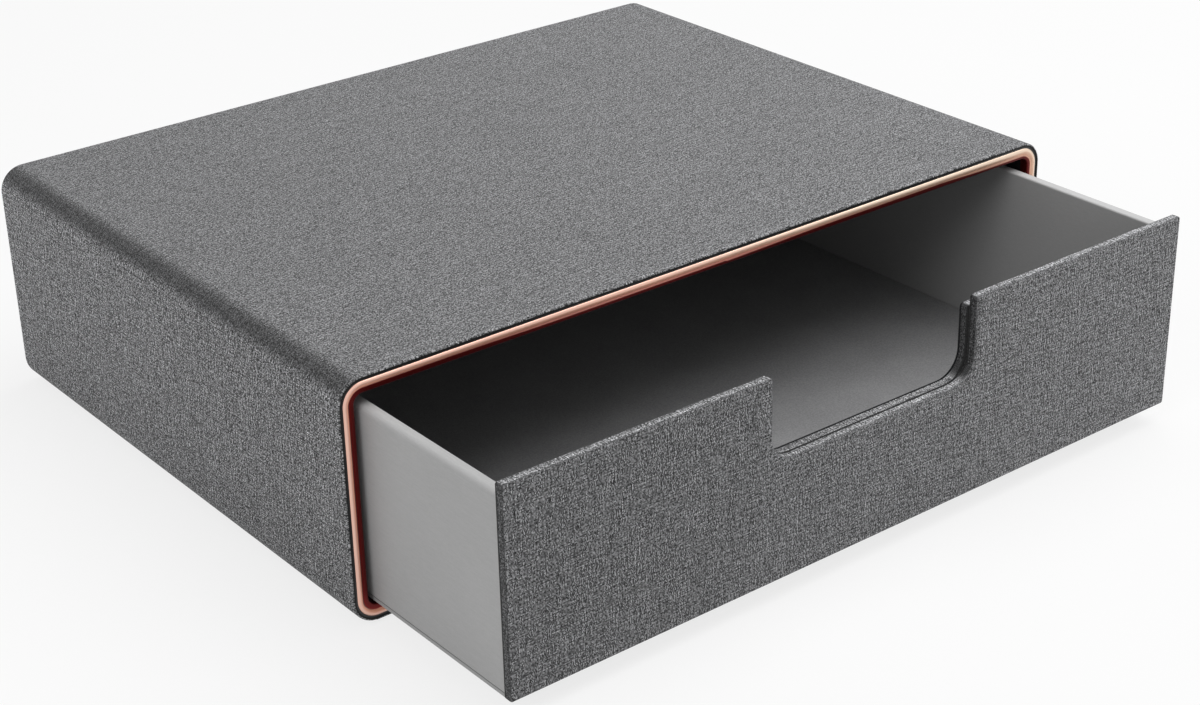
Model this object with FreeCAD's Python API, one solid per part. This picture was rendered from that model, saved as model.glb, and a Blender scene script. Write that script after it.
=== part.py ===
"""File box with one drawer: a covered sleeve of boards with a trimmed mouth, and a tray that slides in it.

Millimetres. +X is to the right as seen from the front, +Y runs from the front to the back, +Z is up.
The origin is on the desk, under the middle of the casing. The drawer is modelled partly open.
"""

import FreeCAD, Part
import os
from math import cos, pi, sin

from FreeCAD import Vector

# ---- casing --------------------------------------------------------------------------------------
casing_width = 335.0
casing_depth = 251.0  # from the front of the edge trim to the back
casing_height = 93.5  # from the underside of the cover to its top
casing_corner_radius = 10.0  # of the four long edges, on the outside
casing_board = 4.5
back_rebate = 1.5  # how far the back board is let into the boards round it

cover_thickness = 1.2  # fabric-faced sheet round the boards
cover_front_fillet = 0.8
cover_back_fillet = 1.5
cover_turn_in = 14.0  # width of the hem that is folded onto the back
cover_seam = 0.4  # gap where the two ends of the sheet meet, under the casing
mitre_slit = 0.4  # width of the cut in each corner of the hem
mitre_end = 7.0  # from the outer faces to the end of that cut
back_cover_thickness = 0.9
back_cover_gap = 0.3

lining_thickness = 0.7
floor_felt_thickness = 1.6
base_felt_thickness = 1.0
base_felt_inset = 0.8  # from the front and the back of the boards

# ---- mouth ---------------------------------------------------------------------------------------
bead_width = 2.3  # low rounded metal bead on the front of the binding
bead_height = 0.55
bead_gap = 0.8  # between the cut edge of the cover and the bead
bead_setback = 0.3  # from the front of the bead to the cut edge of the cover
binding_thickness = 0.7  # strip that binds the cut edges of the boards
binding_return = 3.0  # how far its leg reaches into the mouth behind the boards' edge
binding_edge_radius = 0.5
ring_joint = 0.3  # gap where the ends of bead and binding meet, at the bottom

# ---- drawer --------------------------------------------------------------------------------------
drawer_open = 78.0  # how far the drawer stands out in the stored pose
drawer_side_clearance = 2.0  # between an end of the front panel and the binding
drawer_top_clearance = 0.5
drawer_bottom_clearance = 1.0
drawer_back_clearance = 0.4  # left behind the tray when the drawer is shut
running_gap = 0.3  # between the base sheet and the felt that it slides on

panel_thickness = 3.6
panel_cover_thickness = 0.5
panel_turn_in = 12.0  # width of the hem on the back of the panel
panel_corner_radius = 1.0
panel_front_fillet = 0.6
panel_back_fillet = 0.6

notch_width = 96.5
notch_depth = 32.6  # from the top of the panel
notch_radius = 10.0
notch_lip_radius = 1.5  # where the notch meets the top edge

tray_setback = 0.5  # from an end of the panel to the side of the tray
tray_rim_drop = 4.6  # from the top of the panel to the rim of the tray
tray_board = 4.0
tray_wrap_thickness = 0.5
rim_outer_radius = 2.0
rim_inner_radius = 0.8
wrap_foot_radius = 0.35  # of the wrap's lower edge, above the base sheet
tray_corner_radius = 2.5
tray_base_sheet = 1.5
tray_bottom_board = 3.0
tray_floor_liner = 1.0

front_wall_board = 2.7
front_wall_cover = 0.4
front_wall_fillet = 0.7
front_lining_thickness = 0.9
front_lining_drop = 0.5  # from the rim of the front wall to the top of its lining
liner_gap = 0.4  # between a loose sheet and the walls round it

# ---- places worked out from the sizes ------------------------------------------------------------
# Distances named wall_to_... run inwards from the outer faces of the casing.
wall_to_lining = cover_thickness + casing_board
wall_to_inside = wall_to_lining + lining_thickness
wall_to_binding = wall_to_lining + binding_thickness
wall_to_floor = wall_to_lining + floor_felt_thickness
wall_to_bead = cover_thickness + bead_gap

z_under = base_felt_thickness
z_top = z_under + casing_height
z_middle = (z_under + z_top) / 2.0

y_mouth = -casing_depth / 2.0
y_back = casing_depth / 2.0
y_cover = y_mouth + bead_setback
y_binding = y_mouth + bead_height
y_boards = y_binding + binding_thickness
y_boards_end = y_back - cover_thickness
y_binding_end = y_boards + binding_return
y_back_board = y_boards_end - casing_board
y_inside_back = y_back_board - lining_thickness

half_casing = casing_width / 2.0
half_panel = half_casing - wall_to_binding - drawer_side_clearance
half_tray = half_panel - tray_setback
side_wall = tray_board + 2.0 * tray_wrap_thickness
front_wall = front_wall_board + 2.0 * front_wall_cover
half_inside = half_tray - side_wall

z_panel = z_under + wall_to_binding + drawer_bottom_clearance
z_panel_top = z_top - wall_to_binding - drawer_top_clearance
z_notch = z_panel_top - notch_depth
z_tray = z_under + wall_to_floor + running_gap
z_walls = z_tray + tray_base_sheet
z_rim = z_panel_top - tray_rim_drop
z_floor_board = z_walls + tray_bottom_board
z_floor = z_floor_board + tray_floor_liner

y_panel = y_mouth - drawer_open
y_tray = y_panel + panel_thickness
y_tray_end = y_inside_back - drawer_back_clearance - drawer_open
y_front_lining = y_tray + front_wall
y_inside_front = y_front_lining + front_lining_thickness
y_inside_end = y_tray_end - side_wall

above_all = z_top + casing_height  # a height that every cut can safely reach


# ---- general helpers -----------------------------------------------------------------------------
def box(x0, x1, y0, y1, z0, z1):
    """A block between two corners."""
    return Part.makeBox(x1 - x0, y1 - y0, z1 - z0, Vector(x0, y0, z0))


def mirrored_x(shape):
    """The same piece on the other side of the middle plane."""
    return shape.mirror(Vector(0, 0, 0), Vector(1, 0, 0))


def near(a, b):
    return abs(a - b) < 0.01


def edges_where(shape, test):
    """The edges whose middle point passes test."""
    found = []
    for edge in shape.Edges:
        middle = edge.valueAt((edge.FirstParameter + edge.LastParameter) / 2.0)
        if test(middle):
            found.append(edge)
    return found


def segment(a, b):
    return Part.LineSegment(a, b).toShape()


def face_of(edges):
    return Part.Face(Part.Wire(edges))


# ---- shapes that several casing pieces share -----------------------------------------------------
def rounded_bar(inset, y0, y1):
    """A solid bar along Y with the outline of the casing, set in from the outside by inset."""
    half = half_casing - inset
    bar = box(-half, half, y0, y1, z_under + inset, z_top - inset)
    radius = casing_corner_radius - inset
    if radius <= 0.0:
        return bar
    high = half_height(inset)
    corners = edges_where(bar, lambda p: near(abs(p.x), half) and near(abs(p.z - z_middle), high))
    return bar.makeFillet(radius, corners)


def half_height(inset):
    return casing_height / 2.0 - inset


def swept_round_mouth(section):
    """A section sweeps round the mouth: along four straight sides and round the corners between them.

    The section is a face in the YZ plane whose Z coordinate is the distance in from the outside.
    """
    radius = casing_corner_radius
    across = (casing_width - 2.0 * radius, casing_height / 2.0)
    upright = (casing_height - 2.0 * radius, casing_width / 2.0)
    ring = None
    for turn, (length, reach) in enumerate((across, upright, across, upright)):
        start = section.translated(Vector(-length / 2.0, 0, z_middle - reach))
        side = start.extrude(Vector(length, 0, 0))
        corner_axis = Vector(length / 2.0, 0, z_middle - reach + radius)
        end = section.translated(Vector(length / 2.0, 0, z_middle - reach))
        corner = end.revolve(corner_axis, Vector(0, -1, 0), 90)
        for run in (side, corner):
            run.rotate(Vector(0, 0, z_middle), Vector(0, -1, 0), 90 * turn)
            ring = run if ring is None else ring.fuse(run)
    return ring.removeSplitter()


def joint_slot(width, y0, y1, depth):
    """The gap between the two ends of a strip, in the middle of the bottom."""
    return box(-width / 2.0, width / 2.0, y0, y1, z_under - 1.0, z_under + depth)


# ---- casing boards -------------------------------------------------------------------------------
def back_board_block():
    """The back board, which stands in a rebate in the four boards round it."""
    inset = wall_to_lining - back_rebate
    half = half_casing - inset
    return box(-half, half, y_back_board, y_boards_end, z_under + inset, z_top - inset)


def casing_board_in(block):
    """The part of the rounded envelope of the boards that lies in block, with the rebate for the back."""
    envelope = rounded_bar(cover_thickness, y_boards, y_boards_end)
    return envelope.common(block).cut(back_board_block())


def casing_top_board():
    return casing_board_in(
        box(-half_casing, half_casing, y_boards, y_boards_end, z_top - wall_to_lining, z_top)
    )


def casing_bottom_board():
    return casing_board_in(
        box(-half_casing, half_casing, y_boards, y_boards_end, z_under, z_under + wall_to_lining)
    )


def casing_left_board():
    inner = -half_casing + wall_to_lining
    return casing_board_in(
        box(-half_casing, inner, y_boards, y_boards_end, z_under + wall_to_lining, z_top - wall_to_lining)
    )


# ---- casing sheets -------------------------------------------------------------------------------
def casing_cover():
    """One fabric-faced sheet round the boards, hemmed onto the back, with its seam underneath."""
    block = rounded_bar(0.0, y_cover, y_back)
    block = block.makeFillet(cover_front_fillet, edges_where(block, lambda p: near(p.y, y_cover)))
    block = block.makeFillet(cover_back_fillet, edges_where(block, lambda p: near(p.y, y_back)))
    boards = rounded_bar(cover_thickness, y_cover - 1.0, y_boards_end)
    field = rounded_bar(cover_turn_in, y_boards_end - 1.0, y_back + 1.0)
    cover = block.cut(boards).cut(field)
    cover = cover.cut(joint_slot(cover_seam, y_cover - 1.0, y_boards_end, cover_thickness))
    for slit in hem_mitres():
        cover = cover.cut(slit)
    return cover


def hem_mitres():
    """The four cuts along which the corners of the hem meet at 45 degrees."""
    length = (cover_turn_in - mitre_end) * 2.0**0.5 + mitre_slit
    slits = []
    for x_sign in (-1.0, 1.0):
        for z_sign in (-1.0, 1.0):
            slit = box(0.0, length, y_boards_end, y_back + 1.0, -mitre_slit / 2.0, mitre_slit / 2.0)
            slit.rotate(Vector(0, 0, 0), Vector(0, -1, 0), 45)
            if z_sign < 0.0:
                slit = slit.mirror(Vector(0, 0, 0), Vector(0, 0, 1))
            if x_sign < 0.0:
                slit = mirrored_x(slit)
            inner_x = x_sign * (half_casing - cover_turn_in - mitre_slit / 2.0)
            inner_z = z_middle + z_sign * (half_height(cover_turn_in) - mitre_slit / 2.0)
            slits.append(slit.translated(Vector(inner_x, 0, inner_z)))
    return slits


def casing_back_cover():
    """The sheet that fills the field inside the hem."""
    return rounded_bar(cover_turn_in + back_cover_gap, y_boards_end, y_boards_end + back_cover_thickness)


def casing_lining():
    """One sheet folded up the left side, across the top and down the right side, inside the boards."""

    def arch(inset, y0, y1, z0):
        half = half_casing - inset
        block = box(-half, half, y0, y1, z0, z_top - inset)
        shoulders = edges_where(block, lambda p: near(p.z, z_top - inset) and near(abs(p.x), half))
        return block.makeFillet(casing_corner_radius - inset, shoulders)

    z_foot = z_under + wall_to_floor
    outer = arch(wall_to_lining, y_binding_end, y_inside_back, z_foot)
    return outer.cut(arch(wall_to_inside, y_binding_end - 1.0, y_inside_back + 1.0, z_foot - 1.0))


def casing_back_lining():
    half = half_casing - wall_to_lining
    return box(
        -half, half, y_inside_back, y_back_board, z_under + wall_to_lining, z_top - wall_to_lining
    )


def casing_floor_felt():
    """The felt on which the drawer slides."""
    half = half_casing - wall_to_lining
    z_board = z_under + wall_to_lining
    return box(-half, half, y_binding_end, y_inside_back, z_board, z_board + floor_felt_thickness)


def base_felt():
    """The non-slip sheet under the flat of the casing, on which the whole box stands."""
    half = half_casing - casing_corner_radius
    return box(-half, half, y_boards + base_felt_inset, y_boards_end - base_felt_inset, 0.0, z_under)


# ---- the mouth -----------------------------------------------------------------------------------
def edge_trim():
    """The low rounded bead that is bent round the mouth."""
    low = Vector(0, y_binding, wall_to_bead)
    crown = Vector(0, y_mouth, wall_to_bead + bead_width / 2.0)
    high = Vector(0, y_binding, wall_to_bead + bead_width)
    section = face_of([Part.Arc(low, crown, high).toShape(), segment(high, low)])
    return swept_round_mouth(section).cut(joint_slot(ring_joint, y_mouth - 1.0, y_boards, wall_to_binding))


def mouth_binding():
    """The strip of L section that covers the cut edges of the boards and returns into the mouth."""
    radius = binding_edge_radius
    start = cover_thickness
    nose_y = y_binding + radius * (1.0 - cos(pi / 4.0))
    nose_t = wall_to_binding - radius * (1.0 - sin(pi / 4.0))
    a = Vector(0, y_binding, start)
    b = Vector(0, y_binding, wall_to_binding - radius)
    c = Vector(0, y_binding + radius, wall_to_binding)
    d = Vector(0, y_binding_end, wall_to_binding)
    e = Vector(0, y_binding_end, wall_to_lining)
    f = Vector(0, y_boards, wall_to_lining)
    g = Vector(0, y_boards, start)
    nose = Part.Arc(b, Vector(0, nose_y, nose_t), c).toShape()
    straight = [segment(p, q) for p, q in ((c, d), (d, e), (e, f), (f, g), (g, a))]
    ring = swept_round_mouth(face_of([segment(a, b), nose] + straight))
    return ring.cut(joint_slot(ring_joint, y_mouth, y_binding_end + 1.0, wall_to_binding + 1.0))


# ---- front panel ---------------------------------------------------------------------------------
def notched(board, margin):
    """The finger notch is cut through a board; margin makes the notch larger all round."""
    half = notch_width / 2.0 + margin
    bounds = board.BoundBox
    tool = box(-half, half, bounds.YMin - 1.0, bounds.YMax + 1.0, z_notch - margin, above_all)
    low = edges_where(tool, lambda p: near(p.z, z_notch - margin) and near(abs(p.x), half))
    return board.cut(tool.makeFillet(notch_radius + margin, low))


def round_lips(board, z, margin):
    """The two corners where the notch meets the top edge are rounded. That edge is a margin below z."""
    half = notch_width / 2.0 + margin
    lips = edges_where(board, lambda p: near(p.z, z - margin) and near(abs(p.x), half))
    return board.makeFillet(notch_lip_radius - margin, lips)


def round_face(board, y, radius):
    """Every edge of the face at y is rounded."""
    return board.makeFillet(radius, edges_where(board, lambda p: near(p.y, y)))


def front_panel_block(margin, y0, y1):
    half = half_panel - margin
    return notched(box(-half, half, y0, y1, z_panel + margin, z_panel_top - margin), margin)


def front_panel_board():
    """The core of the panel, with a raised field on its back inside the hem of the cover."""
    core = front_panel_block(
        panel_cover_thickness, y_panel + panel_cover_thickness, y_tray - panel_cover_thickness
    )
    core = round_lips(core, z_panel_top, panel_cover_thickness)
    field = front_panel_block(panel_turn_in, y_tray - panel_cover_thickness, y_tray)
    return core.fuse(field).removeSplitter()


def front_panel_cover():
    """Fabric-faced sheet over the front of the panel, round its outline and notch, hemmed onto its back."""
    block = front_panel_block(0.0, y_panel, y_tray)
    corners = edges_where(
        block, lambda p: near(abs(p.x), half_panel) and (near(p.z, z_panel) or near(p.z, z_panel_top))
    )
    block = block.makeFillet(panel_corner_radius, corners)
    block = round_lips(block, z_panel_top, 0.0)
    block = round_face(block, y_panel, panel_front_fillet)
    block = round_face(block, y_tray, panel_back_fillet)
    return block.cut(front_panel_board())


# ---- front wall of the tray, behind the panel ----------------------------------------------------
def front_wall_block(margin):
    back = y_front_lining - margin
    return notched(box(-half_inside, half_inside, y_tray + margin, back, z_walls, z_rim - margin), margin)


def tray_front_board():
    return round_lips(front_wall_block(front_wall_cover), z_rim, front_wall_cover)


def tray_front_cover():
    """The sheet over both faces, the rim and the notch of the front wall, rounded along the panel."""
    block = round_lips(front_wall_block(0.0), z_rim, 0.0)
    outline = edges_where(
        block, lambda p: near(p.y, y_tray) and p.z > z_walls + 1.0 and abs(p.x) < half_inside - 1.0
    )
    return block.makeFillet(front_wall_fillet, outline).cut(tray_front_board())


def tray_front_lining():
    """The dark sheet on the inner face of the front wall, standing on the bottom board."""
    top = z_rim - front_lining_drop
    sheet = box(-half_inside, half_inside, y_front_lining, y_inside_front, z_floor_board, top)
    return round_lips(notched(sheet, 0.0), top, 0.0)


# ---- side and back walls of the tray -------------------------------------------------------------
def on_outer_half(p):
    """Whether a point is on the outer half of the side walls or of the back wall."""
    return abs(p.x) > half_tray - side_wall / 2.0 or p.y > y_tray_end - side_wall / 2.0


def tray_walls(margin):
    """The two side walls and the back wall as one U, each face but the lowest set in by margin."""
    half = half_tray - margin
    reach = side_wall - margin
    outside = box(-half, half, y_tray + margin, y_tray_end - margin, z_walls, z_rim - margin)
    if margin < tray_corner_radius:
        rear = edges_where(outside, lambda p: near(p.y, y_tray_end - margin) and near(abs(p.x), half))
        outside = outside.makeFillet(tray_corner_radius - margin, rear)
    inside = box(
        -half_tray + reach, half_tray - reach, y_tray - 1.0, y_tray_end - reach, z_walls - 1.0, above_all
    )
    walls = outside.cut(inside)
    outer_rim = edges_where(walls, lambda p: near(p.z, z_rim - margin) and on_outer_half(p))
    walls = walls.makeFillet(rim_outer_radius - margin, outer_rim)
    inner_rim = edges_where(
        walls, lambda p: near(p.z, z_rim - margin) and p.y > y_tray + 1.0 and not on_outer_half(p)
    )
    walls = walls.makeFillet(rim_inner_radius - margin, inner_rim)
    if margin < wrap_foot_radius:
        foot = edges_where(walls, lambda p: near(p.z, z_walls) and on_outer_half(p))
        walls = walls.makeFillet(wrap_foot_radius, foot)
    return walls


def tray_left_board():
    """A side wall, which runs from the front panel to the back of the tray."""
    outer = -half_tray + tray_wrap_thickness
    block = box(outer, outer + tray_board, y_tray, y_tray_end, z_walls, z_rim)
    return tray_walls(tray_wrap_thickness).common(block)


def tray_back_board():
    """The wall between the rear ends of the side boards."""
    half = half_tray - tray_wrap_thickness - tray_board
    return tray_walls(tray_wrap_thickness).common(box(-half, half, y_tray, y_tray_end, z_walls, z_rim))


def tray_wrap():
    """The pale sheet over both faces and the rim of the side and back walls."""
    return tray_walls(0.0).cut(tray_walls(tray_wrap_thickness))


# ---- bottom of the tray --------------------------------------------------------------------------
def tray_bottom():
    """The board that fills the space between the four walls."""
    return box(-half_inside, half_inside, y_front_lining, y_inside_end, z_walls, z_floor_board)


def tray_liner():
    """The loose felt sheet on the bottom board."""
    half = half_inside - liner_gap
    return box(-half, half, y_inside_front + liner_gap, y_inside_end - liner_gap, z_floor_board, z_floor)


def tray_base():
    """The sheet that closes the tray below and slides on the felt."""
    sheet = box(-half_tray, half_tray, y_tray, y_tray_end, z_tray, z_walls)
    rear = edges_where(sheet, lambda p: near(p.y, y_tray_end) and near(abs(p.x), half_tray))
    return sheet.makeFillet(tray_corner_radius, rear)


def pieces():
    """Every piece by the name of its node."""
    casing_side = casing_left_board()
    tray_side = tray_left_board()
    return {
        "casing_top_board": casing_top_board(),
        "casing_bottom_board": casing_bottom_board(),
        "casing_left_board": casing_side,
        "casing_right_board": mirrored_x(casing_side),
        "casing_back_board": back_board_block(),
        "casing_cover": casing_cover(),
        "casing_back_cover": casing_back_cover(),
        "casing_lining": casing_lining(),
        "casing_back_lining": casing_back_lining(),
        "casing_floor_felt": casing_floor_felt(),
        "base_felt": base_felt(),
        "edge_trim": edge_trim(),
        "mouth_binding": mouth_binding(),
        "front_panel_board": front_panel_board(),
        "front_panel_cover": front_panel_cover(),
        "tray_front_board": tray_front_board(),
        "tray_front_cover": tray_front_cover(),
        "tray_front_lining": tray_front_lining(),
        "tray_left_board": tray_side,
        "tray_right_board": mirrored_x(tray_side),
        "tray_back_board": tray_back_board(),
        "tray_wrap": tray_wrap(),
        "tray_bottom_board": tray_bottom(),
        "tray_floor_liner": tray_liner(),
        "tray_base_sheet": tray_base(),
    }


os.makedirs("parts", exist_ok=True)
for name, shape in pieces().items():
    solids = shape.Solids
    if not solids or not shape.isValid():
        raise ValueError(f"{name} is not a valid solid")
    Part.makeCompound(solids).exportStep(f"parts/{name}.step")
    print(f"{name}: {len(solids)} solid(s), {shape.Volume / 1000.0:.2f} cm3")
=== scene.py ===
"""Looks of the file box with drawer: the finish of every piece, the studio light and the camera."""

from math import radians

import bpy
from mathutils import Euler, Matrix, Vector


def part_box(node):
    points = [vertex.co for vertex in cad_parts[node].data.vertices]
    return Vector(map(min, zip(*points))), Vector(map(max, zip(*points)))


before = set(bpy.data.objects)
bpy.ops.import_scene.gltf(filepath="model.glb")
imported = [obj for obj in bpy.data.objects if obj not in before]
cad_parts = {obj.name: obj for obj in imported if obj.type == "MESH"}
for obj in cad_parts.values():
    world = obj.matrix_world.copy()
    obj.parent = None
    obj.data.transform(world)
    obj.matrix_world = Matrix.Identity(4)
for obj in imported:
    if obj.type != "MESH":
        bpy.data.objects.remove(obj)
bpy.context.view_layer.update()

# ---- sizes that the finishes follow, in millimetres, as in the CAD source --------------------------
MM = 0.001


def corners(piece):
    """The lowest and the highest corner of a piece, in millimetres."""
    return [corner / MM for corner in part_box(piece)]


casing_low, casing_high = corners("casing_cover")
corner_radius = 10.0
casing_flat = casing_high.x - corner_radius
casing_middle = (casing_low.z + casing_high.z) / 2.0
casing_upright = casing_high.z - casing_middle - corner_radius
bead_edge = 2.0  # from the outside of the casing to the bead, on the front
bead_middle = 3.2
panel_high = corners("front_panel_cover")[1]
notch_reach = 60.0  # half a width that holds the notch and not the ends of the panel
notch_half = 48.25
notch_radius = 10.0
notch_floor = 55.0
wrap_low = corners("tray_wrap")[0]

# ---- colours, as linear light ----------------------------------------------------------------------
linen_grey = (0.185, 0.186, 0.191)
# black of the sheet's cut edge, also the colour of painted shadow in the gaps between panel and wall and
# between cover and bead
core_and_gap_shadow = (0.010, 0.010, 0.010)
wrap_grey = (0.41, 0.41, 0.41)
flock_black = (0.010, 0.010, 0.011)
felt_grey = (0.30, 0.30, 0.305)
felt_black = (0.018, 0.018, 0.019)
fibreboard = (0.36, 0.26, 0.17)
rose_gold = (0.98, 0.45, 0.30)
# painted highlight on the outer half of the bead
highlight_gold = (0.91, 0.56, 0.45)
# paler copies of the trim colours, painted light on the right-hand part of the trim
pale_rose_gold = (0.98, 0.62, 0.44)
pale_highlight_gold = (0.98, 0.78, 0.62)
rose_foil = (0.66, 0.26, 0.20)
# paler copy of the foil, painted light on the right-hand part
pale_rose_foil = (0.66, 0.36, 0.25)
wine_red = (0.11, 0.0045, 0.004)
floor_white = (0.88, 0.88, 0.88)
sky_white = (1.0, 1.0, 1.0, 1.0)

# ---- light -----------------------------------------------------------------------------------------
sky_strength = 0.40
shadow_lift = 0.78  # share of white in the floor, where the camera or a mirror sees it
floor_radius = 6.0
lamps = {  # watts, size and place, in metres
    "key": (18.5, 1.8, Vector((0.60, -0.25, 1.45))),
    "fill": (5.0, 0.8, Vector((-1.30, -0.50, 1.00))),
}

# ---- camera, with its place in metres and its angles in degrees -----------------------------------
camera_place = Vector((-0.5078, -0.7030, 0.4300))
camera_azimuth = 37.82
camera_elevation = 26.12
camera_roll = -1.33
camera_lens = 69.25


# ---- a short way to write node trees ---------------------------------------------------------------
class Field:
    """A number that varies over a surface. It can be used in sums with others and with plain numbers."""

    def __init__(self, graph, socket):
        self.graph = graph
        self.socket = socket

    def __add__(self, other):
        return self.graph.math("ADD", self, other)

    def __sub__(self, other):
        return self.graph.math("SUBTRACT", self, other)

    def __rsub__(self, other):
        return self.graph.math("SUBTRACT", other, self)

    def __mul__(self, other):
        return self.graph.math("MULTIPLY", self, other)

    def __truediv__(self, other):
        return self.graph.math("DIVIDE", self, other)

    def __abs__(self):
        return self.graph.math("ABSOLUTE", self)

    __radd__ = __add__
    __rmul__ = __mul__

    def swing(self, reach):
        """What goes from 0 to 1 is made to swing about 0, over reach from end to end."""
        return (self - 0.5) * reach


class Graph:
    """The node tree of one material, with its principled shader."""

    def __init__(self, name):
        self.material = bpy.data.materials.new(name)
        self.material.use_nodes = True
        self.tree = self.material.node_tree
        self.shader = self.tree.nodes["Principled BSDF"]

    def node(self, kind, **settings):
        made = self.tree.nodes.new("ShaderNode" + kind)
        for setting, value in settings.items():
            setattr(made, setting, value)
        return made

    def feed(self, socket, value):
        if isinstance(value, Field):
            self.tree.links.new(value.socket, socket)
        else:
            socket.default_value = value

    def field(self, socket):
        return Field(self, socket)

    def math(self, operation, *values):
        made = self.node("Math", operation=operation)
        for socket, value in zip(made.inputs, values):
            self.feed(socket, value)
        return self.field(made.outputs[0])

    def place(self):
        """Where the surface is, in millimetres, as three fields."""
        axes = self.node("SeparateXYZ")
        self.tree.links.new(self.node("TexCoord").outputs["Object"], axes.inputs[0])
        return [self.field(axis) / MM for axis in axes.outputs]

    def facing(self):
        """The surface's own direction, as three fields from -1 to 1."""
        axes = self.node("SeparateXYZ")
        self.tree.links.new(self.node("TexCoord").outputs["Normal"], axes.inputs[0])
        return [self.field(axis) for axis in axes.outputs]

    def vector(self, x, y, z=0.0):
        made = self.node("CombineXYZ")
        for socket, value in zip(made.inputs, (x, y, z)):
            self.feed(socket, value)
        return self.field(made.outputs[0])

    def noise(self, vector, scale=1.0, detail=2.0, roughness=0.5):
        """Smooth noise from 0 to 1, with scale features to the unit."""
        made = self.node("TexNoise")
        self.feed(made.inputs["Vector"], vector)
        made.inputs["Scale"].default_value = scale
        made.inputs["Detail"].default_value = detail
        made.inputs["Roughness"].default_value = roughness
        return self.field(made.outputs["Fac"])

    def chance(self, vector):
        """A number from 0 to 1 that has nothing to do with its neighbours."""
        made = self.node("TexWhiteNoise")
        self.feed(made.inputs["Vector"], vector)
        return self.field(made.outputs["Value"])

    def above(self, field, edge, soft):
        """0 below edge and 1 above it, over a soft width."""
        made = self.node("MapRange", interpolation_type="SMOOTHSTEP")
        for socket, value in zip(made.inputs, (field, edge - soft / 2.0, edge + soft / 2.0, 0.0, 1.0)):
            self.feed(socket, value)
        return self.field(made.outputs[0])

    def below(self, field, edge, soft):
        """1 below edge and 0 above it, over a soft width."""
        return 1.0 - self.above(field, edge, soft)

    def near(self, field, value, reach, soft=0.3):
        """1 within reach of a value, and 0 beyond it."""
        return self.below(abs(field - value), reach, soft)

    def mix(self, share, low, high):
        """Low where share is 0, and high where it is 1."""
        made = self.node("Mix")
        for socket, value in zip((made.inputs[0], made.inputs[2], made.inputs[3]), (share, low, high)):
            self.feed(socket, value)
        return self.field(made.outputs[0])

    def blend(self, share, low, high):
        """The same for colours, which are given as three numbers or as a field."""
        made = self.node("Mix", data_type="RGBA")
        colours = [c if isinstance(c, Field) else (*c, 1.0) for c in (low, high)]
        for socket, value in zip((made.inputs[0], made.inputs[6], made.inputs[7]), (share, *colours)):
            self.feed(socket, value)
        return self.field(made.outputs[2])

    def scale_colour(self, colour, factor):
        """A colour made lighter or darker by a field."""
        made = self.node("Mix", data_type="RGBA", blend_type="MULTIPLY")
        made.inputs[0].default_value = 1.0
        self.feed(made.inputs[6], colour if isinstance(colour, Field) else (*colour, 1.0))
        self.feed(made.inputs[7], self.vector(factor, factor, factor))
        return self.field(made.outputs[2])

    def bump(self, height, depth):
        """Height from 0 to 1 becomes a relief of depth millimetres."""
        made = self.node("Bump")
        made.inputs["Distance"].default_value = depth * MM
        self.feed(made.inputs["Height"], height)
        self.tree.links.new(made.outputs[0], self.shader.inputs["Normal"])

    def finish(self, **inputs):
        """Settings of the principled shader, with underscores for the spaces in their names."""
        for name, value in inputs.items():
            if isinstance(value, tuple):
                value = (*value, 1.0)
            self.feed(self.shader.inputs[name.replace("_", " ")], value)
        return self.material


# ---- places on the casing --------------------------------------------------------------------------
def distance_in(graph, x, z):
    """How far a place in the section of the casing is from its outside, in millimetres."""
    across = abs(x) - casing_flat
    up = abs(z - casing_middle) - casing_upright
    past_x = graph.math("MAXIMUM", across, 0.0)
    past_z = graph.math("MAXIMUM", up, 0.0)
    outside = graph.math("SQRT", past_x * past_x + past_z * past_z)
    inside = graph.math("MINIMUM", graph.math("MAXIMUM", across, up), 0.0)
    return corner_radius - outside - inside


def distance_round(graph, x, z):
    """The way round the section from the middle of the top, in millimetres. It is negative on the left."""
    hair = 0.001  # keeps the angle at a quarter turn all over the bottom
    height = z - casing_middle
    across = graph.math("MINIMUM", abs(x), casing_flat)
    past_side = graph.math("MAXIMUM", abs(x) - casing_flat, 0.0) + hair
    past_top = graph.math("MAXIMUM", height - casing_upright, 0.0)
    past_bottom = graph.math("MAXIMUM", -casing_upright - height, 0.0)
    bends = graph.math("ARCTAN2", past_side, past_top) + graph.math("ARCTAN2", past_bottom, past_side)
    lower_half = graph.below(height, 0.0, hair)
    flats = graph.mix(lower_half, across, 2.0 * casing_flat - across)
    down = graph.math("MAXIMUM", casing_upright - height, 0.0)
    down = graph.math("MINIMUM", down, 2.0 * casing_upright)
    return graph.math("SIGN", x) * (flats + bends * corner_radius + down)


# ---- linen-faced sheet -----------------------------------------------------------------------------
casing_pitch = (0.50, 0.40)  # between warp threads and between weft threads
panel_pitch = (0.42, 0.46)
wander_reach = 1.2  # how far the threads leave their straight lines
slub_length = 6.0  # along a thread
streak_length = 30.0
crest_side = 0.6  # how high a thread still is where it dives
weave_relief = 0.08
knot_relief = 0.3  # share of that which is up to chance

top_heather = 2.35  # how strongly the yarn varies from dark to light
side_heather = 3.4
panel_heather = 2.6
top_slubs = 0.4  # how much of that follows a thread for some millimetres
side_slubs = 0.6
panel_slubs = 0.6

# what the tone of the yarn is made of
knot_tone = 0.9
next_knot_tone = 0.25
own_slub_tone = 2.2
next_slub_tone = 1.5
streak_tone = 0.5
fibre_tone = 0.3
# painted shade in the hollows between the crests of the threads
hollow_shade_tone = 0.25
mean_crest = 0.6
cloud_tone = 0.10
tone_spread = 0.33  # its standard deviation, taken out again so that the mean colour holds
darkest_root = 0.12  # square root of the darkest yarn's strength

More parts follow.
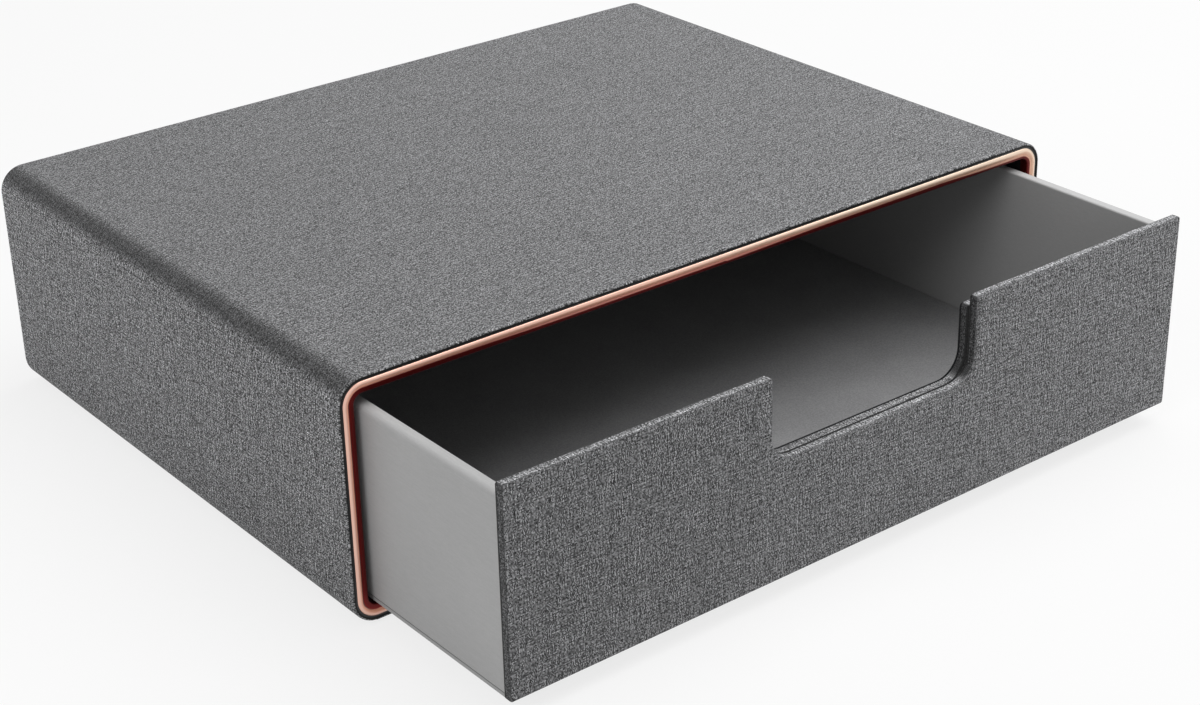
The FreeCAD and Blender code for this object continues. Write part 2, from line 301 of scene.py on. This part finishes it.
# steps and places in the noise that keep one thread apart from the next, and one noise from another
thread_stride = 3.7
warp_seed, fibre_seed, cloud_seed, streak_seed, weft_seed = 0.0, 2.0, 4.0, 6.0, 9.0


def crown(graph, count):
    """The round top of a thread across its width, from the running number of threads."""
    offset = graph.math("FRACT", count) * 2.0 - 1.0
    return 1.0 - offset * offset


def slub(graph, number, along, seed):
    """Tone along one thread. Part of the next thread's tone is taken off, so that the two stand apart."""
    tones = []
    for thread in (number, number + 1.0):
        place = graph.vector(thread * thread_stride, along / slub_length, seed)
        tones.append(graph.noise(place, detail=3.0, roughness=0.6))
    return tones[0].swing(own_slub_tone) - tones[1].swing(next_slub_tone)


def linen(graph, u, v, pitch, heather, slubs, shade=1.0):
    """Plain weave of heathered yarn, with its warp along v. It gives the colour and sets the relief."""
    wander = graph.noise(graph.vector(u, v), scale=0.05, detail=1.0) * wander_reach
    warp_count = (u + wander) / pitch[0]
    weft_count = (v + wander) / pitch[1]
    warp_number = graph.math("FLOOR", warp_count)
    weft_number = graph.math("FLOOR", weft_count)
    warp_over = graph.math("MODULO", abs(warp_number + weft_number), 2.0)
    warp_crown = crown(graph, warp_count)
    weft_crown = crown(graph, weft_count)
    warp_crest = warp_crown * graph.mix(weft_crown, crest_side, 1.0)
    weft_crest = weft_crown * graph.mix(warp_crown, crest_side, 1.0)
    crest = graph.mix(warp_over, weft_crest, warp_crest)

    knot = graph.chance(graph.vector(warp_number, weft_number))
    next_knot = graph.chance(graph.vector(warp_number + 1.0, weft_number))
    streak_place = graph.vector(warp_number * thread_stride, v / streak_length, streak_seed)
    streak = graph.noise(streak_place, detail=1.0)
    fibres = graph.noise(graph.vector(u, v, fibre_seed), scale=3.5, detail=2.0, roughness=0.6)
    threads = slub(graph, warp_number, v, warp_seed) + slub(graph, weft_number, u, weft_seed)
    threads = threads + streak.swing(streak_tone)
    tone = knot.swing(knot_tone) - next_knot.swing(next_knot_tone) + threads * slubs
    tone = tone + fibres.swing(fibre_tone) + (crest - mean_crest) * hollow_shade_tone

    cloud = graph.noise(graph.vector(u, v, cloud_seed), scale=0.018, detail=2.0)
    root = graph.math("MAXIMUM", tone * heather * 0.5 + 1.0, darkest_root)
    spread = heather * tone_spread
    strength = root * root / (spread * spread / 4.0 + 1.0) * (cloud.swing(cloud_tone) + 1.0)
    graph.bump(graph.mix(knot_relief, crest, knot), weave_relief)
    return graph.scale_colour(linen_grey, strength * shade)


def woven(graph, colour):
    """The matt surface that all the linen shares."""
    return graph.finish(Base_Color=colour, Roughness=0.8, Specular_IOR_Level=0.25, Sheen_Weight=0.05)


band_start, band_rise = 2.8, 5.5  # painted shade: the dark band on the upper left bend, from the end of the flat top
band_end, band_fall = 10.4, 5.0
bend_shade_depth = 0.60
fold_highlight_reach = 1.4  # the painted highlight on the fold at the mouth
fold_highlight_gain = 0.2
# painted light: the top is lighter to the right, and the sides lighter to the back and towards the top
top_left_tone = 0.98
top_right_gain = 0.12
side_low_tone = 0.97
side_high_gain = 0.12
side_rear_gain = 0.18
cover_skin = 0.65  # outer part of the sheet's cut edge, which is woven and not black


def casing_linen():
    """The sheet round the casing. Its weave follows the bends, and its cut edge at the mouth is black. It
    carries painted shade on its upper left bend and painted light on its top, its sides and its fold at the
    mouth.
    """
    graph = Graph("casing_linen")
    x, y, z = graph.place()
    _, facing_y, facing_z = graph.facing()
    on_back = graph.above(facing_y, 0.7, 0.1)
    way_round = distance_round(graph, x, z)
    weft_way = graph.mix(on_back, y, z)
    warp_way = graph.mix(on_back, way_round, x)

    past_flat = -casing_flat - way_round
    # painted shade along the upper left bend
    bend_shade = graph.above(past_flat, band_start, band_rise) * graph.below(past_flat, band_end, band_fall)
    # painted highlight on the upper fold of the sheet at the mouth
    fold_highlight = graph.near(y, casing_low.y, fold_highlight_reach, 0.8) * graph.above(facing_z, 0.6, 0.4)
    # painted light, on the top and on the sides
    top_right = graph.above(x, 0.0, 2.0 * casing_high.x) * graph.above(facing_z, 0.5, 0.6)
    on_side = graph.below(abs(facing_z), 0.5, 0.6)
    side_rear = graph.above(y, 0.0, 2.0 * casing_high.y)
    side_high = graph.above(z, 30.0, 60.0)
    side_painted_light = side_rear * side_rear_gain + side_high * side_high_gain + side_low_tone
    top_painted_light = top_right * top_right_gain + top_left_tone
    shade = (1.0 - bend_shade * bend_shade_depth) * (fold_highlight * fold_highlight_gain + 1.0)
    shade = shade * top_painted_light * graph.mix(on_side, 1.0, side_painted_light)
    heather = graph.mix(on_side, top_heather, side_heather)
    slubs = graph.mix(on_side, top_slubs, side_slubs)
    colour = linen(graph, weft_way, warp_way, casing_pitch, heather, slubs, shade)
    core = graph.above(distance_in(graph, x, z), cover_skin, 0.2) * graph.below(y, 0.0, 1.0)
    return woven(graph, graph.blend(core, colour, core_and_gap_shadow))


wall_edge_highlight = 1.3  # how much lighter the painted highlight makes an upper edge, on the front wall and on the panel
panel_edge_highlight = 1.85
highlight_end, highlight_soft = 2.1, 2.6  # where the front painted highlight gives way to the rear one, behind the front of the sheet
rear_highlight = (1.1, 1.6)  # painted highlight further back, at the left and at the right
front_line = (0.5, 0.95)  # width of the edge in front of the painted highlight, at the left and at the right
level_facing = 0.85  # how much a surface faces up where an edge starts to count as level
left_bend_facing = 0.50  # the same in the left bend of the notch
panel_painted_light = (0.85, 1.11)  # painted light, far out on the left and on the right
# painted shade at the ends of the sheet, on the notch's right-hand side and on the front face beside it
end_dark = 0.5
notch_side_dark = 0.72
notch_face_dark = 0.45
notch_fade = 3.4
seam_shadow_dark = 0.9
seam_shadow_reach = (0.5, 1.1)  # how far the painted shadow reaches from the joint of panel and wall, on the edges and at the ends


def notch_shade(graph, x, z):
    """Painted shade: 1 at the notch's right-hand side and 0 a few millimetres from it. It fades out along
    the bend.
    """
    across = graph.math("MAXIMUM", x - (notch_half - notch_radius), 0.0)
    down = graph.math("MAXIMUM", notch_floor + notch_radius - z, 0.0)
    reach = graph.math("SQRT", across * across + down * down)
    return graph.below(reach, notch_radius + notch_fade / 2.0, notch_fade) * across / reach


def edge_tone(graph, behind, x, highlight_gain):
    """Tone of an upper edge, with a painted highlight behind a thin front line, which is wider at the
    right.
    """
    to_right = graph.above(x, 0.0, 60.0)
    highlighted = graph.mix(graph.above(behind, highlight_end, highlight_soft), highlight_gain, graph.mix(to_right, *rear_highlight))
    return graph.mix(graph.above(behind, graph.mix(to_right, *front_line), 0.5), 1.0, highlighted)


def notched_linen(name, piece, highlight_gain):
    """The sheet over panel or front wall: painted highlight on its upper edges, painted shade at its ends
    and in the notch.
    """
    graph = Graph(name)
    x, y, z = graph.place()
    facing_x, facing_y, facing_z = graph.facing()
    on_end = graph.above(abs(facing_x), 0.6, 0.3)
    on_edge = graph.above(abs(facing_z), 0.6, 0.3)
    on_front = graph.below(facing_y, -0.8, 0.2)
    in_notch = graph.near(x, 0.0, notch_reach, 1.0)

    left_bend = in_notch * graph.below(x, 0.0, 10.0)
    level = graph.above(facing_z, graph.mix(left_bend, level_facing, left_bend_facing), 0.2)
    from_front = y - corners(piece)[0].y
    shade = graph.mix(level, 1.0, edge_tone(graph, from_front, x, highlight_gain))
    # painted shade on the ends and in the notch
    end_shade = graph.above(abs(facing_x), 0.3, 0.3) * end_dark
    side_shade = on_end * graph.below(facing_x, 0.0, 0.5) * notch_side_dark
    shade = shade * (1.0 - graph.mix(in_notch, end_shade, side_shade))
    shade = shade * graph.mix(graph.above(x, 0.0, 2.0 * panel_high.x), *panel_painted_light)
    shade = shade * (1.0 - on_front * notch_shade(graph, x, z) * notch_face_dark)
    u = graph.mix(on_end, x, y)
    v = graph.mix(on_edge, z, y)
    colour = linen(graph, u, v, panel_pitch, panel_heather, panel_slubs, shade)
    # painted shadow in the gap where panel and wall meet
    seam_shadow = graph.near(y, panel_high.y, graph.mix(on_end, *seam_shadow_reach))
    seam_shadow = seam_shadow * graph.below(abs(facing_y), 0.9, 0.1)
    return woven(graph, graph.blend(seam_shadow * seam_shadow_dark, colour, core_and_gap_shadow))


def plain_linen():
    """The sheet in the field of the back."""
    graph = Graph("plain_linen")
    x, _, z = graph.place()
    return woven(graph, linen(graph, x, z, casing_pitch, side_heather, side_slubs))


# ---- other finishes --------------------------------------------------------------------------------
rim_highlight_gain = (0.10, 0.35)  # painted highlight, on the left and on the right wall
# painted shade line along the joint of the wrap and the base sheet
foot_shade_dark = 0.35
underside_dark = 0.08


def pale_wrap():
    """Matt coated sheet with a faint grain along the drawer. Its rim has a painted highlight and its foot a
    painted shade line.
    """
    graph = Graph("pale_wrap")
    x, y, z = graph.place()
    facing_z = graph.facing()[2]
    grain = graph.noise(graph.vector(y * 0.25, z * 2.5, x * 2.5), detail=3.0, roughness=0.6)
    speck = graph.noise(graph.vector(x, y, z), scale=1.6, detail=2.0)
    cloud = graph.noise(graph.vector(x, y, z), scale=0.03, detail=2.0)
    tone = grain.swing(0.22) + speck.swing(0.12) + cloud.swing(0.08) + 1.0
    rim_highlight = graph.above(facing_z, 0.5, 0.7) * graph.mix(graph.above(x, 0.0, 1.0), *rim_highlight_gain)
    foot_shade = graph.near(z, wrap_low.z, 0.25) * foot_shade_dark
    underside = graph.below(z, wrap_low.z, 0.1) * underside_dark
    shade = (rim_highlight + 1.0) * (1.0 - foot_shade) * (1.0 - underside)
    colour = graph.scale_colour(wrap_grey, tone * shade)
    graph.bump(grain, 0.03)
    return graph.finish(Base_Color=colour, Roughness=0.62, Specular_IOR_Level=0.35)


def flock(name, colour, sheen):
    """Short dense fibres: felt, or the flock of a lining."""
    graph = Graph(name)
    place = graph.vector(*graph.place())
    fibres = graph.noise(place, scale=1.4, detail=4.0, roughness=0.75)
    cloud = graph.noise(place, scale=0.05, detail=2.0)
    colour = graph.scale_colour(colour, fibres.swing(1.1) + cloud.swing(0.3) + 1.0)
    graph.bump(fibres, 0.12)
    return graph.finish(Base_Color=colour, Roughness=0.95, Specular_IOR_Level=0.15, Sheen_Weight=sheen)


upright_turn = (3.75, 4.9)  # where the trim turns wine red, from the outside, at the left and the right, further in on the right where reflection is painted
level_turn = 4.5
gleams = ((-35.0, 60.0, 60.0), (150.0, 25.0, 30.0))  # middle, reach and softness of painted gleams of reflected light: it turns further in
foil_painted_light = (1.5, 0.9)  # painted light: the foil's brightness beside the bead and in the mouth
return_start = 1.0  # behind the mouth, where the foil turns back into the casing


def wine_share(graph, x, z):
    """1 where the trim has turned from rose to wine red, which is further in where a gleam is painted."""
    on_level = graph.above(abs(z - casing_middle), casing_upright + corner_radius * 0.4, 6.0)
    on_upright = graph.mix(graph.above(x, 0.0, 1.0), *upright_turn)
    along_level = sum(graph.near(x, *gleam) for gleam in gleams) + level_turn
    turn = graph.mix(on_level, on_upright, along_level)
    return graph.above(distance_in(graph, x, z) - turn, 0.0, 0.5)


def metal_bead():
    """Rose gold plating with fine drawing marks, with a painted highlight on its outer half and painted
    light that makes it paler to the right.
    """
    graph = Graph("rose_gold_bead")
    x, y, z = graph.place()
    marks = graph.noise(graph.vector(x * 0.15, y * 6.0, z * 0.15), detail=3.0, roughness=0.6)
    cloud = graph.noise(graph.vector(x, y, z), scale=0.04, detail=2.0)
    # painted highlight on the outer half of the bead, and painted light that makes the right-hand part
    # paler
    inner_half = graph.above(distance_in(graph, x, z), bead_middle, 1.0)
    left_gold = graph.blend(inner_half, highlight_gold, rose_gold)
    right_gold = graph.blend(inner_half, pale_highlight_gold, pale_rose_gold)
    colour = graph.blend(graph.above(x, 20.0, 160.0), left_gold, right_gold)
    colour = graph.scale_colour(colour, cloud.swing(0.15) + 1.0)
    colour = graph.blend(wine_share(graph, x, z), colour, wine_red)
    metal = graph.mix(inner_half, 0.5, 0.1)
    graph.bump(marks, 0.006)
    return graph.finish(Base_Color=colour, Metallic=metal, Roughness=marks * 0.12 + 0.27)


def mouth_foil():
    """Metallic foil on the binding: rose along the bead and wine red inside it, with painted shadow in the
    gap outside the bead.
    """
    graph = Graph("mouth_foil")
    x, y, z = graph.place()
    inwards = distance_in(graph, x, z)
    grain = graph.noise(graph.vector(x, y, z), scale=1.2, detail=3.0, roughness=0.6)
    returned = graph.above(y, casing_low.y + return_start, 0.2)
    wine = graph.math("MAXIMUM", wine_share(graph, x, z), returned)
    # painted light: the foil is paler to the right
    rose = graph.blend(graph.above(x, 60.0, 120.0), rose_foil, pale_rose_foil)
    gain = graph.mix(graph.above(inwards, 5.0, 2.0), *foil_painted_light)
    colour = graph.scale_colour(graph.blend(wine, rose, wine_red), grain.swing(0.5) + gain)
    # painted shadow in the gap between the cover and the bead
    gap_shadow = graph.below(inwards, bead_edge, 0.1)
    colour = graph.blend(gap_shadow, colour, core_and_gap_shadow)
    metal = graph.mix(wine, 0.1, 0.75) * (1.0 - gap_shadow)
    graph.bump(grain, 0.015)
    return graph.finish(Base_Color=colour, Metallic=metal, Roughness=0.42)


def raw_fibreboard():
    """Pressed fibres. The boards are hidden in every pose."""
    graph = Graph("raw_fibreboard")
    fibres = graph.noise(graph.vector(*graph.place()), scale=0.9, detail=5.0, roughness=0.7)
    colour = graph.scale_colour(fibreboard, fibres.swing(0.5) + 1.0)
    graph.bump(fibres, 0.05)
    return graph.finish(Base_Color=colour, Roughness=0.9)


def paint(material, *nodes):
    for name in nodes:
        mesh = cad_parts[name].data
        mesh.materials.clear()
        mesh.materials.append(material)


def paint_all():
    paint(casing_linen(), "casing_cover")
    paint(notched_linen("panel_linen", "front_panel_cover", panel_edge_highlight), "front_panel_cover")
    paint(notched_linen("front_wall_linen", "tray_front_cover", wall_edge_highlight), "tray_front_cover")
    paint(plain_linen(), "casing_back_cover")
    paint(pale_wrap(), "tray_wrap", "tray_base_sheet")
    linings = ("casing_lining", "casing_back_lining", "tray_front_lining")
    paint(flock("black_flock", flock_black, 0.05), *linings)
    paint(flock("grey_felt", felt_grey, 0.10), "tray_floor_liner")
    paint(flock("black_felt", felt_black, 0.05), "casing_floor_felt", "base_felt")
    paint(metal_bead(), "edge_trim")
    paint(mouth_foil(), "mouth_binding")
    paint(raw_fibreboard(), *(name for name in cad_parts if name.endswith("_board")))


# ---- the studio ------------------------------------------------------------------------------------
def seen_share(tree, share):
    """A socket that gives share to what the camera sees, by itself or in metal, and 0 to the light."""
    path = tree.nodes.new("ShaderNodeLightPath")
    seen = path.outputs["Is Camera Ray"]
    for other in ("Is Glossy Ray", "Is Transmission Ray"):
        either = tree.nodes.new("ShaderNodeMath")
        either.operation = "MAXIMUM"
        tree.links.new(seen, either.inputs[0])
        tree.links.new(path.outputs[other], either.inputs[1])
        seen = either.outputs[0]
    scaled = tree.nodes.new("ShaderNodeMath")
    scaled.operation = "MULTIPLY"
    tree.links.new(seen, scaled.inputs[0])
    scaled.inputs[1].default_value = share
    return scaled.outputs[0]


def floor():
    """A white floor that keeps the shadow of the box, most of it lifted."""
    bpy.ops.mesh.primitive_circle_add(vertices=96, radius=floor_radius, fill_type="NGON")
    disc = bpy.context.active_object
    disc.name = "studio_floor"
    graph = Graph("studio_floor")
    disc.data.materials.append(graph.finish(Base_Color=floor_white, Roughness=0.9, Specular_IOR_Level=0.1))
    white = graph.node("Emission")
    lifted = graph.node("MixShader")
    graph.tree.links.new(seen_share(graph.tree, shadow_lift), lifted.inputs[0])
    graph.tree.links.new(graph.shader.outputs[0], lifted.inputs[1])
    graph.tree.links.new(white.outputs[0], lifted.inputs[2])
    graph.tree.links.new(lifted.outputs[0], graph.tree.nodes["Material Output"].inputs["Surface"])


def lights():
    """Two soft round lamps that point at the middle of the floor."""
    for name, (power, size, place) in lamps.items():
        lamp = bpy.data.lights.new(name, "AREA")
        lamp.energy = power
        lamp.shape = "DISK"
        lamp.size = size
        made = bpy.data.objects.new(name, lamp)
        made.location = place
        made.rotation_euler = (-place).to_track_quat("-Z", "Y").to_euler()
        bpy.context.scene.collection.objects.link(made)


def sky():
    """An even pale sky. The camera, and what metal mirrors, see it white."""
    world = bpy.data.worlds.new("studio")
    bpy.context.scene.world = world
    world.use_nodes = True
    tree = world.node_tree
    background = tree.nodes["Background"]
    background.inputs["Color"].default_value = sky_white
    strength = tree.nodes.new("ShaderNodeMix")
    strength.inputs[2].default_value = sky_strength
    strength.inputs[3].default_value = 1.0
    tree.links.new(seen_share(tree, 1.0), strength.inputs[0])
    tree.links.new(strength.outputs[0], background.inputs["Strength"])


def camera():
    """The camera that was fitted to the photo."""
    data = bpy.data.cameras.new("camera")
    data.lens = camera_lens
    made = bpy.data.objects.new("camera", data)
    bpy.context.scene.collection.objects.link(made)
    turned = Euler((radians(90.0 - camera_elevation), 0.0, -radians(camera_azimuth))).to_matrix()
    rolled = turned @ Matrix.Rotation(radians(camera_roll), 3, "Z")
    made.matrix_world = Matrix.Translation(camera_place) @ rolled.to_4x4()
    bpy.context.scene.camera = made


bpy.context.scene.view_settings.view_transform = "Standard"
camera()
sky()
lights()
floor()
paint_all()
